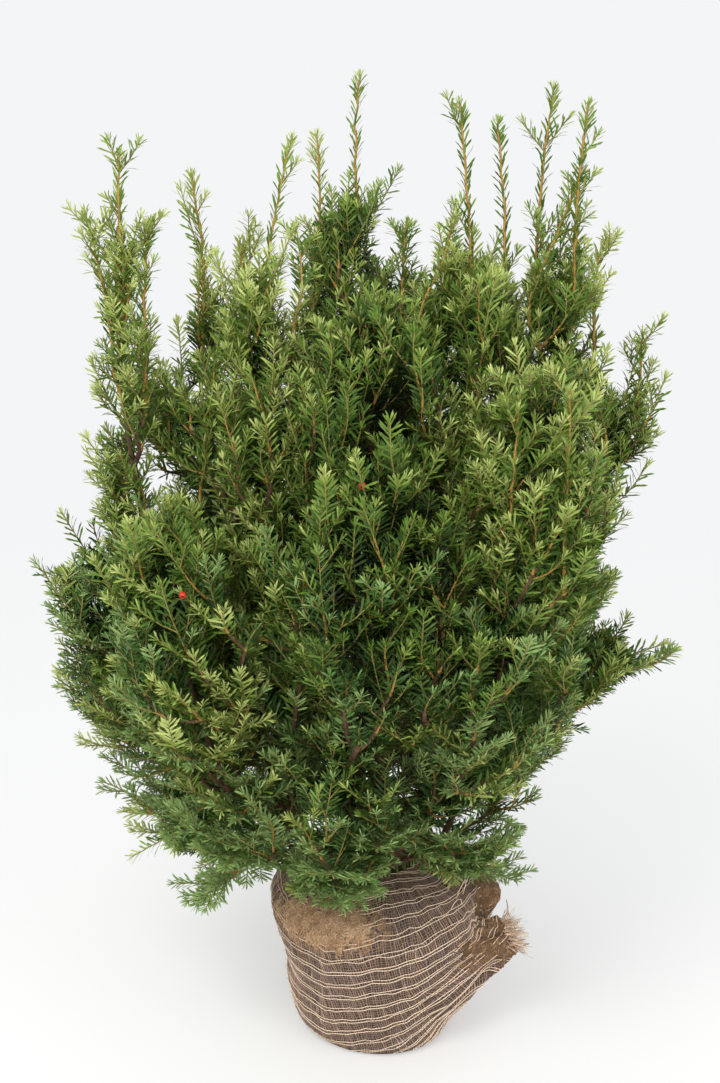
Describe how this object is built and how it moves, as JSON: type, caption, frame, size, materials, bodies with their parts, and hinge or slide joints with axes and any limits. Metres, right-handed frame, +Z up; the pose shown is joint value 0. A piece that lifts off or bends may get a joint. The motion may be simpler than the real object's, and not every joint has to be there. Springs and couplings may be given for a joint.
{
  "type": "english yew shrub with root ball",
  "caption": "Upright multi-stemmed English yew shrub with dense dark green needles and golden leading shoots, standing on a root ball wrapped in jute hessian",
  "frame": {"origin": "middle of the flat underside of the root ball", "axes": "+Z up, the best side of the shrub faces -Y, +X is right as seen from the best side"},
  "size_m": [0.7953, 0.6161, 1.2714],
  "materials": {
    "bark": "rough reddish brown bark",
    "needles": "dark green needles",
    "fresh_needles": "yellow-green young needles",
    "hessian": "open jute weave",
    "soil_ball": "jute weave over soil"
  },
  "bodies": {
    "root": {"bough_back_low": "bark", "bough_back_middle": "bark", "bough_centre_back": "bark", "bough_centre_front": "bark", "bough_foot_right": "bark", "bough_left_column": "bark", "bough_left_front": "bark", "bough_left_inner": "bark", "bough_left_outer": "bark", "bough_left_skirt": "bark", "bough_left_upper": "bark", "bough_right_front": "bark", "bough_right_inner": "bark", "bough_right_low": "bark", "bough_right_outer": "bark", "bough_right_top": "bark", "hessian_knot": "hessian", "mass_back_low_1": "needles", "mass_back_low_2": "needles", "mass_back_low_3": "needles", "mass_back_low_4": "needles", "mass_back_middle_1": "needles", "mass_back_middle_2": "needles", "mass_back_middle_3": "needles", "mass_back_top_1": "needles", "mass_centre_back": "needles", "mass_centre_front": "needles", "mass_centre_upper": "needles", "mass_foot_left": "needles", "mass_foot_right": "needles", "mass_left_column": "needles", "mass_left_deep": "needles", "mass_left_front": "needles", "mass_left_inner": "needles", "mass_left_low": "needles", "mass_left_outer": "needles", "mass_left_skirt": "needles", "mass_left_upper": "needles", "mass_right_front": "needles", "mass_right_inner": "needles", "mass_right_low": "needles", "mass_right_outer": "needles", "mass_right_skirt": "needles", "mass_right_top": "needles", "root_ball": "soil_ball", "shoot_centre_left": "fresh_needles", "shoot_centre_top": "fresh_needles", "shoot_left_column": "fresh_needles", "shoot_left_column_inner": "fresh_needles", "shoot_left_inner": "fresh_needles", "shoot_left_outer": "fresh_needles", "shoot_left_upper": "fresh_needles", "shoot_right_inner": "fresh_needles", "shoot_right_middle": "fresh_needles", "shoot_right_outer": "fresh_needles", "shoot_right_side": "fresh_needles", "shoot_right_top": "fresh_needles", "trunk": "bark"}
  },
  "joints": []
}
